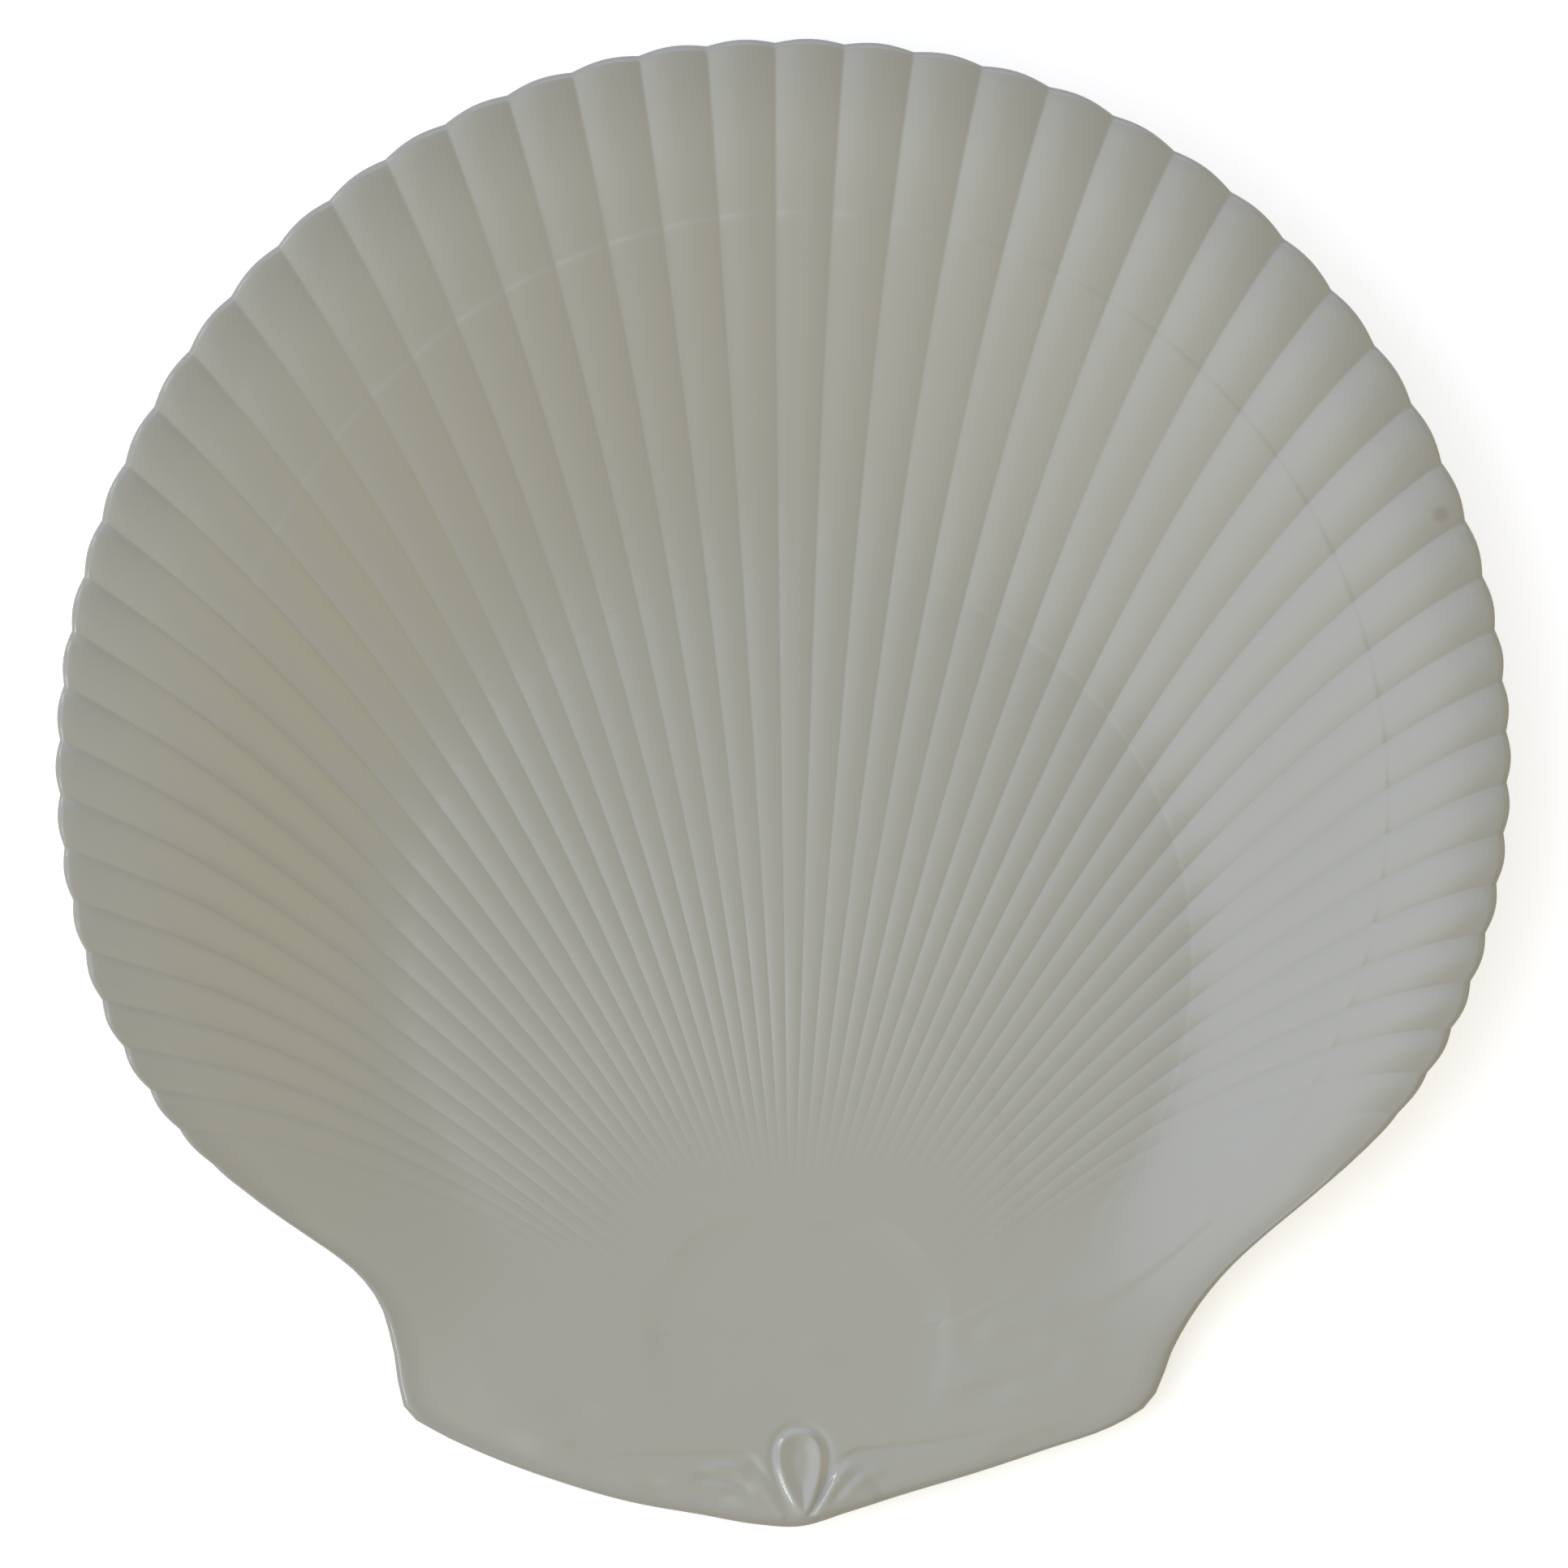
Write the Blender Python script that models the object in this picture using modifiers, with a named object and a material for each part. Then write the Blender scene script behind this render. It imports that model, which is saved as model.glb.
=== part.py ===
"""A shell-shaped serving platter: one moulded piece of glazed ceramic on a foot ring.

X runs across the shell, +Y towards the top of its fan and +Z up. The plan is drawn about the
centre of the fan's circle, then moved so that the origin is the middle of the outline's box,
on the surface that the foot stands on.
"""

import math

import bmesh
import bpy
import numpy as np

NAME = "shell_platter"
MM = 0.001

# Outline, seen from above
FAN_RADIUS = 160.0 * MM        # fan's circle, through the notches between the flutes
LOBE_RISE = 0.9 * MM           # rounded end of a flute, past its two notches
FAN_TURN = 2.08                # degrees from +Y to the end of the middle flute, clockwise

# Outline against the circle: degrees from +Y, and how far outside it in millimetres. The fan
# is a little fuller on its upper right. Past it come shoulder, neck, corner of the hinge, base
# edge, and the blunt tip as the last right point.
FAN = ((-105, 0.0), (-80, 0.4), (-60, 0.4), (-36, 0.5), (-12, 0.3), (0, 0.0), (10, 0.5),
       (22, 1.35), (34, 1.2), (48, 0.7), (66, 0.5), (85, 0.4), (105, -0.1))
RIGHT_SIDE = ((111, -0.7), (117, -2.2), (123, -5.0), (129, -8.4), (135, -10.6), (138, -10.7),
              (141, -9.6), (144, -7.1), (147, -2.8), (149, 1.7), (150.5, 3.6), (153, 4.1),
              (159, 2.9), (165, 3.0), (171, 4.4), (175, 6.6), (178.8, 9.2))
LEFT_SIDE = ((111, -0.5), (117, -2.1), (123, -4.4), (129, -7.9), (135, -11.4), (138, -12.6),
             (141, -12.3), (144, -9.2), (146, -4.6), (147.5, -0.4), (148.6, 3.8), (150, 6.4),
             (152, 6.9), (156, 6.9), (162, 6.8), (168, 7.2), (174, 7.6), (178, 8.8))

TIP_Y = -FAN_RADIUS - RIGHT_SIDE[-1][1] * MM
HALF_TURN = 180.0              # degrees

# Flutes: they spring from a hub near the hinge and end at the fan's edge. The shell is a little
# lopsided, so each side has its own values, left and right of the middle flute.
HUB_X = 1.7 * MM
HUB_UP = 39.6 * MM             # hub above the hinge's tip
HUB_Y = TIP_Y + HUB_UP
HUB_LEAN = 0.3                 # degrees, middle flute at the hub
FLUTES_LEFT = 28
FLUTES_RIGHT = 26
HUB_PITCH_LEFT = 2.56          # degrees between flutes at the hub, at the middle
HUB_PITCH_RIGHT = 2.81
HUB_PITCH_DROP_LEFT = 0.0017   # degrees lost with the square of a flute's number
HUB_PITCH_DROP_RIGHT = 0.013
EDGE_PITCHES_LEFT = (5.45, 4.43, 3.84)     # degrees between notches: top, side and last flute
EDGE_PITCHES_RIGHT = (5.53, 4.04, 4.00)
TOP_FLUTES = 10                # flutes each side that keep the top pitch
SIDE_FLUTES = 15               # flute whose pitch is the side pitch
BEND_POWER_LEFT = 2.44         # how late a flute turns from its straight start to its notch
BEND_POWER_RIGHT = 3.46
TUCK = 30.0                    # degrees that the side flutes crowd round the hub
TUCK_FROM = 57.0               # degrees from the axis where they crowd most
TUCK_POWER = 6                 # how sharply the crowding sets in with the angle
TUCK_FADE = 4.5                # and how soon it fades on the way out
FLUTE_RISE = 0.9 * MM          # crown over groove at the top of the fan, less nearer the hub
FLUTE_POWER = 1.45             # how soon it gets less on the way to the hub
FLUTE_END = 4                  # flutes over which the last ones fade out
FLUTE_START = 34 * MM          # length past the hub's arch over which a flute comes up

# Growth rings: circles on the shell's axis, steps that the inner layer makes. Each one has its
# radius and how far below the hub it would pass.
AXIS_X = 3.6 * MM              # shell's own axis, right of the fan's centre
WELL_RADIUS = 87.4 * MM        # edge of the flat floor
WELL_ROOT = 0.8 * MM
OUTER_RING_RADIUS = 130.4 * MM
OUTER_RING_ROOT = 8.8 * MM
INNER_RING_RADIUS = 48.0 * MM
INNER_RING_ROOT = 14.4 * MM
WELL_Y = HUB_Y - WELL_ROOT + WELL_RADIUS
OUTER_RING_Y = HUB_Y - OUTER_RING_ROOT + OUTER_RING_RADIUS
INNER_RING_Y = HUB_Y - INNER_RING_ROOT + INNER_RING_RADIUS
RING_STEP = 0.35 * MM
RING_FADE = 12 * MM
RING_STEP_RUN = 1.4 * MM       # width of that step
WELL_STEP = 0.12 * MM          # fainter step at the well's edge
RINGS_FROM = 80.0              # degrees from the axis where the rings start to fade out
RINGS_TO = 105.0
UMBO_RADIUS = 34.0 * MM        # arch where the flutes begin
UMBO_UP = 2.0 * MM             # its middle past the hub, on the axis
UMBO_Y = HUB_Y + UMBO_UP
UMBO_DIP = 8.0 * MM            # the arch comes in this far at the axis
UMBO_DIP_SPREAD = 14.0         # degrees
UMBO_DEPTH = 0.5 * MM          # smooth hollow inside the arch
UMBO_SLOPE = 12 * MM           # from the arch to the hollow's full depth
UMBO_FROM = 80.0               # degrees from the axis where the hollow starts to fade out
UMBO_TO = 140.0

# Section
WALL = 4.2 * MM
EDGE_ROUND = 1.5 * MM          # how far the rounded edge runs in over both faces
NEAR = 0.5 * MM                # distance over which the dish's slope is taken
FLOOR_TOP = 7.4 * MM           # flat floor's upper face at the middle of the well
FLOOR_RISE = 1.0 * MM          # from there to the well's edge
FAN_HEIGHT = 35.0 * MM         # upper face at the fan's notches
HINGE_HEIGHT = 10.5 * MM       # upper face at the base edge
WALL_POWER = 0.86              # under 1 brings the wall's steepest part nearer the well
HINGE_FROM = 78.0              # degrees from +Y where the edge starts down to the hinge
HINGE_TO = 138.0

# Foot ring
FOOT_RADIUS = 75.0 * MM
FOOT_WIDTH = 4.0 * MM
FOOT_UP = 8.5 * MM             # its middle past the well's, up the fan
FOOT_Y = WELL_Y + FOOT_UP
FOOT_BURIED = 1.5 * MM         # runs this far up into the wall
FOOT_CHAMFER = 0.8 * MM
FOOT_POINTS = 48

# Ornament at the hinge: a drop-shaped bead between two wings
DROP_UP = 14.6 * MM            # middle of the drop's round end above the tip
DROP_RADIUS = 5.2 * MM
DROP_LENGTH = 11.6 * MM        # from that middle to the drop's point
DROP_WAIST = 0.6               # share of its width that the drop loses towards its point
DROP_SHARPNESS = 1.5           # how late it loses it
DROP_LEAN = 1.15               # how far its widest place lies up towards the round end
BEAD_RADIUS = 1.0 * MM
BEAD_SUNK = 0.35 * MM
BEAD_TAPER = 0.6               # share of its thickness that a bead loses at its ends
TAPER_POWER = 3                # how close to the ends it loses it
# Wing edges: across from the shell's axis, and up from the tip, in millimetres
LEFT_WING = ((-44, 15.6), (-34, 16.3), (-24, 16.6), (-15, 16.6), (-11.2, 15.6),
             (-9.0, 12.8), (-6.2, 8.6), (-3.8, 4.6))
RIGHT_WING = ((48, 21.6), (38, 19.8), (28, 18.2), (18, 17.0), (11.6, 16.3),
              (8.8, 14.3), (6.2, 9.8), (4.2, 5.6))

# Fineness of the mesh
FLUTE_POINTS = 4               # columns in each flute
WALL_POINTS = 4                # rows between the well's edge and the outer ring
DROP_POINTS = 22
EVEN_ROWS = (0.30, 0.46, 0.62, 0.82)   # shares of the way out, where no ring is followed
EVEN_ROWS_FROM = 46.0          # degrees from the axis where rows leave the rings for those
EVEN_ROWS_TO = 84.0
HINGE_STEP = 3.2               # degrees between columns past the flutes, at most
WELD = 0.001 * MM              # points nearer than this become one

# Fineness of the curves that are looked up point by point
PITCH_POINTS = 40
LINE_POINTS = 201
OUTLINE_SAMPLES = 721

# Finish
GLAZE_COLOUR = (0.38, 0.38, 0.33, 1)
GLAZE_ROUGHNESS = 0.18


def soft_step(value):
    """Rises smoothly from 0 to 1 as the value does."""
    value = np.clip(value, 0, 1)
    return value * value * (3 - 2 * value)


def curve_through(x, points):
    """Smooth curve through (x, y) points in order of x."""
    at = np.array([point[0] for point in points], dtype=float)
    value = np.array([point[1] for point in points], dtype=float)
    slope = np.gradient(value, at)
    spot = np.clip(np.searchsorted(at, x) - 1, 0, len(at) - 2)
    width = at[spot + 1] - at[spot]
    s = (x - at[spot]) / width
    return ((2 * s**3 - 3 * s**2 + 1) * value[spot]
            + (s**3 - 2 * s**2 + s) * width * slope[spot]
            + (3 * s**2 - 2 * s**3) * value[spot + 1]
            + (s**3 - s**2) * width * slope[spot + 1])


def outline_points():
    """Degrees from +Y, clockwise, against millimetres outside the circle, once round."""
    left = [(2 * HALF_TURN - angle, outside) for angle, outside in reversed(LEFT_SIDE)]
    before = [(angle - 2 * HALF_TURN, outside) for angle, outside in left]
    return before + list(FAN) + list(RIGHT_SIDE) + left


OUTLINE = outline_points()
HUB = np.array([HUB_X, HUB_Y])


def edge_point(angle, lobe=0.0):
    """Point of the outline, from the fan's centre, at degrees from +Y in -182 to 230."""
    radius = FAN_RADIUS + curve_through(np.asarray(angle, dtype=float), OUTLINE) * MM + lobe
    turn = np.radians(angle)
    return np.stack([radius * np.sin(turn), radius * np.cos(turn)], axis=-1)


def notch_angle(flute):
    """Degrees from +Y at which a flute's line meets the edge."""
    number = np.abs(flute)
    last = max(FLUTES_LEFT, FLUTES_RIGHT)
    steps = np.linspace(0, last, PITCH_POINTS * last + 1)

    def run(pitches):
        pitch = np.interp(steps, (0, TOP_FLUTES, SIDE_FLUTES, last), (pitches[0], *pitches))
        total = np.cumsum((pitch[1:] + pitch[:-1]) / 2 * np.diff(steps))
        return np.interp(number, steps, np.concatenate([[0], total]))

    left, right = run(EDGE_PITCHES_LEFT), run(EDGE_PITCHES_RIGHT)
    return FAN_TURN + np.where(np.asarray(flute) < 0, -left, right)


def hub_angle(flute):
    """Degrees from the axis at which a flute leaves the hub."""
    number = np.abs(flute)
    left = HUB_PITCH_LEFT * number - HUB_PITCH_DROP_LEFT * number**2
    right = HUB_PITCH_RIGHT * number - HUB_PITCH_DROP_RIGHT * number**2
    return HUB_LEAN + np.where(np.asarray(flute) < 0, -left, right)


def flute_strength(flute):
    """1 in the fan, falling to 0 over the last flutes of each side."""
    left = (FLUTES_LEFT + flute) / FLUTE_END
    right = (FLUTES_RIGHT - flute) / FLUTE_END
    return soft_step(np.minimum(left, right))


def tuck(angle):
    """How far the lines crowd round the hub, by their own angle from the axis."""
    away = np.abs(angle)
    inner = TUCK * np.minimum(away / TUCK_FROM, 1)**TUCK_POWER
    outer = TUCK * (HALF_TURN - away) / (HALF_TURN - TUCK_FROM)
    return np.sign(angle) * np.where(away < TUCK_FROM, inner, outer)


def wrapped(angle):
    """The same angle between -180 and 180."""
    return (angle + HALF_TURN) % (2 * HALF_TURN) - HALF_TURN


def columns():
    """Flute number (nan past the flutes), point on the edge and angle at the hub, clockwise."""
    count = (FLUTES_LEFT + FLUTES_RIGHT) * FLUTE_POINTS
    flute = np.linspace(-FLUTES_LEFT, FLUTES_RIGHT, count + 1)
    lobe = LOBE_RISE * flute_strength(flute) * np.abs(np.cos(np.pi * flute))
    fan_edge = edge_point(notch_angle(flute), lobe)

    start, end = notch_angle(FLUTES_RIGHT), 2 * HALF_TURN + notch_angle(-FLUTES_LEFT)
    marks = [start] + [a for a, _ in OUTLINE if start + 1 < a < end - 1] + [end]
    angles = []
    for low, high in zip(marks, marks[1:]):
        parts = math.ceil((high - low) / HINGE_STEP)
        angles += [low + (high - low) * part / parts for part in range(parts)]
    hinge_edge = edge_point(np.array(angles[1:]))
    away = hinge_edge - HUB
    hinge_hub = np.degrees(np.arctan2(away[:, 0], away[:, 1]))

    flutes = np.concatenate([flute, np.full(len(hinge_edge), np.nan)])
    edges = np.concatenate([fan_edge, hinge_edge])
    return flutes, edges, np.concatenate([hub_angle(flute), hinge_hub])


def column_line(edge, leaving, share):
    """Points from the hub to one edge point, at shares of the way out."""
    away = edge - HUB
    arriving = math.degrees(math.atan2(away[0], away[1]))
    bend = wrapped(arriving - leaving)
    power = BEND_POWER_LEFT if leaving < HUB_LEAN else BEND_POWER_RIGHT
    crowding = tuck(leaving) * (1 - share)**TUCK_FADE
    angle = np.radians(leaving + bend * share**power + crowding)
    reach = share * math.hypot(*away)
    return np.stack([HUB_X + reach * np.sin(angle), HUB_Y + reach * np.cos(angle)], axis=-1)


def past_ring(x, y, centre_y, radius):
    """Distance outside a growth ring."""
    return np.hypot(x - AXIS_X, y - centre_y) - radius


def past_umbo(x, y):
    """Distance outside the arch, and the angle from the axis there."""
    across, along = x - AXIS_X, y - UMBO_Y
    angle = np.degrees(np.arctan2(across, along))
    arch = UMBO_RADIUS - UMBO_DIP * np.exp(-(angle / UMBO_DIP_SPREAD)**2)
    return np.hypot(across, along) - arch, angle


def row_shares(edge, leaving):
    """Shares of the way out of the upper and lower rows, which follow the rings in the fan."""
    share = np.linspace(0, 1, LINE_POINTS)
    x, y = column_line(edge, leaving, share).T
    forms = [past_umbo(x, y)[0],
             past_ring(x, y, INNER_RING_Y, INNER_RING_RADIUS),
             past_ring(x, y, WELL_Y, WELL_RADIUS),
             past_ring(x, y, OUTER_RING_Y, OUTER_RING_RADIUS)]
    rings = [np.interp(0, np.maximum.accumulate(form), share) for form in forms]
    length = math.hypot(*(edge - HUB))
    hinge = 1 - float(fading(leaving, EVEN_ROWS_FROM, EVEN_ROWS_TO))
    arch, inner, well, outer = [ring * (1 - hinge) + even * hinge
                                for ring, even in zip(rings, EVEN_ROWS)]
    step = RING_STEP_RUN / 2 / length
    last = 1 - EDGE_ROUND / length
    wall = np.linspace(well, outer - step, WALL_POINTS + 1)
    upper = [arch, inner, (inner + well) / 2, *wall, outer + step, (outer + last) / 2, last]
    lower = [arch, inner, well, (well + outer) / 2, outer, last]
    return np.array(upper), np.array(lower)


def edge_distance(bearing):
    """Distance from the middle of the well to the outline, at a bearing from +Y."""
    turn = np.linspace(-HALF_TURN, HALF_TURN, OUTLINE_SAMPLES)
    edge = edge_point(turn) - np.array([AXIS_X, WELL_Y])
    at = np.degrees(np.arctan2(edge[:, 0], edge[:, 1]))
    return np.interp(bearing, at, np.hypot(edge[:, 0], edge[:, 1]), period=2 * HALF_TURN)


def dish_height(x, y):
    """Upper face without its relief: a flat well, a wall that rises and a lip that flares."""
    across, along = x - AXIS_X, y - WELL_Y
    distance = np.hypot(across, along)
    bearing = np.degrees(np.arctan2(across, along))
    s = (distance - WELL_RADIUS) / (edge_distance(bearing) - WELL_RADIUS)
    s = np.clip(s, 0, 1)
    wall = soft_step(s**WALL_POWER)
    hinge = soft_step((np.abs(bearing) - HINGE_FROM) / (HINGE_TO - HINGE_FROM))
    top = FAN_HEIGHT + (HINGE_HEIGHT - FAN_HEIGHT) * hinge
    floor = FLOOR_TOP + FLOOR_RISE * np.minimum(distance / WELL_RADIUS, 1)**2
    return floor + (top - FLOOR_TOP - FLOOR_RISE) * wall


def underside(x, y):
    """Point a wall's thickness under the plain dish, square to it."""
    tilt_x = (dish_height(x + NEAR, y) - dish_height(x - NEAR, y)) / (2 * NEAR)
    tilt_y = (dish_height(x, y + NEAR) - dish_height(x, y - NEAR)) / (2 * NEAR)
    reach = WALL / np.sqrt(1 + tilt_x**2 + tilt_y**2)
    return x + reach * tilt_x, y + reach * tilt_y, dish_height(x, y) - reach


def ring_layer(x, y, centre_y, radius, step):
    """The inner layer stands proud at its ring and sinks back towards the middle."""
    past = past_ring(x, y, centre_y, radius)
    return np.where(past < 0, step * np.exp(past / RING_FADE), 0)


def fading(angle, start, end):
    """1 near the axis, falling to 0 between two angles from it."""
    return soft_step((end - np.abs(angle)) / (end - start))


def relief(x, y, flute):
    """Height of the flutes, growth rings and hub over the dish."""
    reach = np.hypot(x - HUB_X, y - HUB_Y)
    past_arch, angle = past_umbo(x, y)
    hollow = UMBO_DEPTH * soft_step(-past_arch / UMBO_SLOPE) * fading(angle, UMBO_FROM, UMBO_TO)
    rings = (ring_layer(x, y, WELL_Y, WELL_RADIUS, WELL_STEP)
             + ring_layer(x, y, OUTER_RING_Y, OUTER_RING_RADIUS, RING_STEP))
    height = rings * fading(angle, RINGS_FROM, RINGS_TO) - hollow
    if not np.isnan(flute):
        crown = abs(math.cos(math.pi * flute)) * flute_strength(flute)
        rise = FLUTE_RISE * (reach / (FAN_RADIUS - HUB_Y))**FLUTE_POWER
        height = height + rise * crown * soft_step(past_arch / FLUTE_START)
    return height


def shift_to_middle():
    """What moves the middle of the outline's box to the origin."""
    _, edges, _ = columns()
    return -(edges.min(axis=0) + edges.max(axis=0)) / 2


SHIFT = shift_to_middle()


def surface_point(x, y, z):
    return (float(x + SHIFT[0]), float(y + SHIFT[1]), float(z))


def glaze():
    material = bpy.data.materials.new("off_white_glaze")
    material.use_nodes = True
    shader = material.node_tree.nodes["Principled BSDF"]
    shader.inputs["Base Color"].default_value = GLAZE_COLOUR
    shader.inputs["Roughness"].default_value = GLAZE_ROUGHNESS
    shader.inputs["Metallic"].default_value = 0.0
    return material


def collection(name):
    group = bpy.data.collections.new(name)
    bpy.context.scene.collection.children.link(group)
    return group


def shell_mesh():
    """Fluted upper face, rounded edge and smooth lower face, lofted along each column."""
    lines = []
    for flute, edge, leaving in zip(*columns()):
        upper, lower = row_shares(edge, leaving)
        x, y = column_line(edge, leaving, upper).T
        top = zip(x, y, dish_height(x, y) + relief(x, y, flute))
        height = dish_height(*edge) + relief(*edge, flute) / 2
        rim = [(*edge, height - WALL / 2)]
        bottom = zip(*underside(*column_line(edge, leaving, lower[::-1]).T))
        lines.append([surface_point(*point) for point in [*top, *rim, *bottom]])
    hub_height = float(dish_height(*HUB))
    points = [surface_point(*HUB, hub_height - UMBO_DEPTH),
              surface_point(*underside(*HUB))]
    rows, count = len(lines[0]), len(lines)
    points += [point for line in lines for point in line]
    faces = []
    for column in range(count):
        here = 2 + column * rows
        there = 2 + (column + 1) % count * rows
        faces.append((0, there, here))
        faces += [(here + row, there + row, there + row + 1, here + row + 1)
                  for row in range(rows - 1)]
        faces.append((here + rows - 1, there + rows - 1, 1))
    mesh = bpy.data.meshes.new("platter")
    mesh.from_pydata(points, [], faces)
    mesh.validate()
    return mesh


def foot_ring():
    """Turned ring under the well, chamfered where it stands."""
    inner, outer = FOOT_RADIUS - FOOT_WIDTH / 2, FOOT_RADIUS + FOOT_WIDTH / 2
    top = FLOOR_TOP - WALL + FOOT_BURIED
    profile = [(outer, top), (outer, FOOT_CHAMFER), (outer - FOOT_CHAMFER, 0),
               (inner + FOOT_CHAMFER, 0), (inner, FOOT_CHAMFER), (inner, top)]
    mesh = bpy.data.meshes.new("foot_ring")
    edges = [(n, (n + 1) % len(profile)) for n in range(len(profile))]
    mesh.from_pydata([(x, 0, z) for x, z in profile], edges, [])
    ring = bpy.data.objects.new("foot_ring", mesh)
    ring.location = surface_point(AXIS_X, FOOT_Y, 0)
    screw = ring.modifiers.new("turn", "SCREW")
    screw.steps = screw.render_steps = FOOT_POINTS
    screw.use_merge_vertices = True
    screw.merge_threshold = WELD
    return ring


def bead(name, plan, closed, target):
    """Round bead lying on the upper face along points of x, y and thickness, as a mesh."""
    curve = bpy.data.curves.new(name, "CURVE")
    curve.dimensions = "3D"
    curve.bevel_depth = BEAD_RADIUS
    curve.bevel_resolution = 1
    curve.use_fill_caps = not closed
    spline = curve.splines.new("POLY")
    spline.points.add(len(plan) - 1)
    spline.use_cyclic_u = closed
    for spot, (x, y, thickness) in zip(spline.points, plan):
        spot.co = (*surface_point(x, y, dish_height(x, y) - BEAD_SUNK * thickness), 1)
        spot.radius = thickness
    holder = bpy.data.objects.new(name + "_curve", curve)
    target.objects.link(holder)
    bpy.context.view_layer.update()
    evaluated = holder.evaluated_get(bpy.context.evaluated_depsgraph_get())
    mesh = bpy.data.meshes.new_from_object(evaluated)
    weld_ends(mesh)
    piece = bpy.data.objects.new(name, mesh)
    piece.matrix_world = holder.matrix_world
    bpy.data.objects.remove(holder)
    return piece


def weld_ends(mesh):
    work = bmesh.new()
    work.from_mesh(mesh)
    bmesh.ops.remove_doubles(work, verts=work.verts, dist=WELD)
    bmesh.ops.recalc_face_normals(work, faces=work.faces)
    work.to_mesh(mesh)
    work.free()


def drop_plan():
    """Drop: round at the top, drawn in to a thin point towards the tip."""
    plan = []
    for step in range(DROP_POINTS):
        turn = 2 * math.pi * step / DROP_POINTS
        down = (1 - math.cos(turn)) / 2
        x = DROP_RADIUS * math.sin(turn) * (1 - DROP_WAIST * down**DROP_SHARPNESS)
        y = DROP_UP + DROP_RADIUS - (DROP_RADIUS + DROP_LENGTH) * down**DROP_LEAN
        plan.append((AXIS_X + x, TIP_Y + y, 1 - BEAD_TAPER * down**TAPER_POWER))
    return plan


def wing_plan(points):
    """Wing's edge, thin at both ends."""
    last = len(points) - 1
    plan = []
    for number, (x, up) in enumerate(points):
        from_middle = abs(2 * number / last - 1)
        thickness = 1 - BEAD_TAPER * from_middle**TAPER_POWER
        plan.append((AXIS_X + x * MM, TIP_Y + up * MM, thickness))
    return plan


def join(body, piece, cutters):
    """Joins a piece into the body, the piece staying in the cutters' collection."""
    cutters.objects.link(piece)
    piece.hide_render = True
    piece.display_type = "WIRE"
    union = body.modifiers.new(piece.name, "BOOLEAN")
    union.operation = "UNION"
    union.solver = "EXACT"
    union.object = piece


def build():
    for thing in list(bpy.data.objects):
        bpy.data.objects.remove(thing)
    parts, cutters = collection(NAME), collection(NAME + "_cutters")
    platter = bpy.data.objects.new("platter", shell_mesh())
    platter.data.materials.append(glaze())
    platter.data.shade_smooth()
    parts.objects.link(platter)
    join(platter, foot_ring(), cutters)
    join(platter, bead("drop", drop_plan(), True, cutters), cutters)
    join(platter, bead("left_wing", wing_plan(LEFT_WING), False, cutters), cutters)
    join(platter, bead("right_wing", wing_plan(RIGHT_WING), False, cutters), cutters)


build()
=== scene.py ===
"""Finished look of the shell-shaped platter: glazed upper face, rim, foot ring, light and camera.

The shell is one fine mesh, lofted from its hub to its edge along the flutes, on the same plan and
heights as the CAD part. Plan values are about the centre of the fan's circle, as there.
"""

import math

import bpy
import numpy as np
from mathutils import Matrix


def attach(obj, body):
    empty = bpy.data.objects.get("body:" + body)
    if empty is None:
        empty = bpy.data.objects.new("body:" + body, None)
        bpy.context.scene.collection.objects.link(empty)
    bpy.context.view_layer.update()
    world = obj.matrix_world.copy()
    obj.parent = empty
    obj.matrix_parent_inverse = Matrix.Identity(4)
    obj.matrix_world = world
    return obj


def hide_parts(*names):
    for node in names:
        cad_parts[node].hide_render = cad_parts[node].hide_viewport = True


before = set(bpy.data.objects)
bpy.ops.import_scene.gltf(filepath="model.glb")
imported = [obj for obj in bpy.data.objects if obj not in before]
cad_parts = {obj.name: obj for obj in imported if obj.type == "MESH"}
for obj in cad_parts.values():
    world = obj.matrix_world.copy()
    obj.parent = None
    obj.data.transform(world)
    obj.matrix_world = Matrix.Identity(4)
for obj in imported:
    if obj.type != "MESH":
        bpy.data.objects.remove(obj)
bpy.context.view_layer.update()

MM = 0.001

# Outline, as in the part: degrees from +Y, and how far outside the fan's circle in millimetres
FAN_RADIUS = 160.0 * MM
LOBE_RISE = 0.9 * MM           # how far a lobe stands out past the notches beside it
FAN_TURN = 2.08                # degrees by which the fan is turned to the right
FAN = ((-105, 0.0), (-80, 0.4), (-60, 0.4), (-36, 0.5), (-12, 0.3), (0, 0.0), (10, 0.5),
       (22, 1.35), (34, 1.2), (48, 0.7), (66, 0.5), (85, 0.4), (105, -0.1))
RIGHT_SIDE = ((111, -0.7), (117, -2.2), (123, -5.0), (129, -8.4), (135, -10.6), (138, -10.7),
              (141, -9.6), (144, -7.1), (147, -2.8), (149, 1.7), (150.5, 3.6), (153, 4.1),
              (159, 2.9), (165, 3.0), (171, 4.4), (175, 6.6), (178.8, 9.2))
LEFT_SIDE = ((111, -0.5), (117, -2.1), (123, -4.4), (129, -7.9), (135, -11.4), (138, -12.6),
             (141, -12.3), (144, -9.2), (146, -4.6), (147.5, -0.4), (148.6, 3.8), (150, 6.4),
             (152, 6.9), (156, 6.9), (162, 6.8), (168, 7.2), (174, 7.6), (178, 8.8))
TIP_Y = -FAN_RADIUS - RIGHT_SIDE[-1][1] * MM

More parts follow.
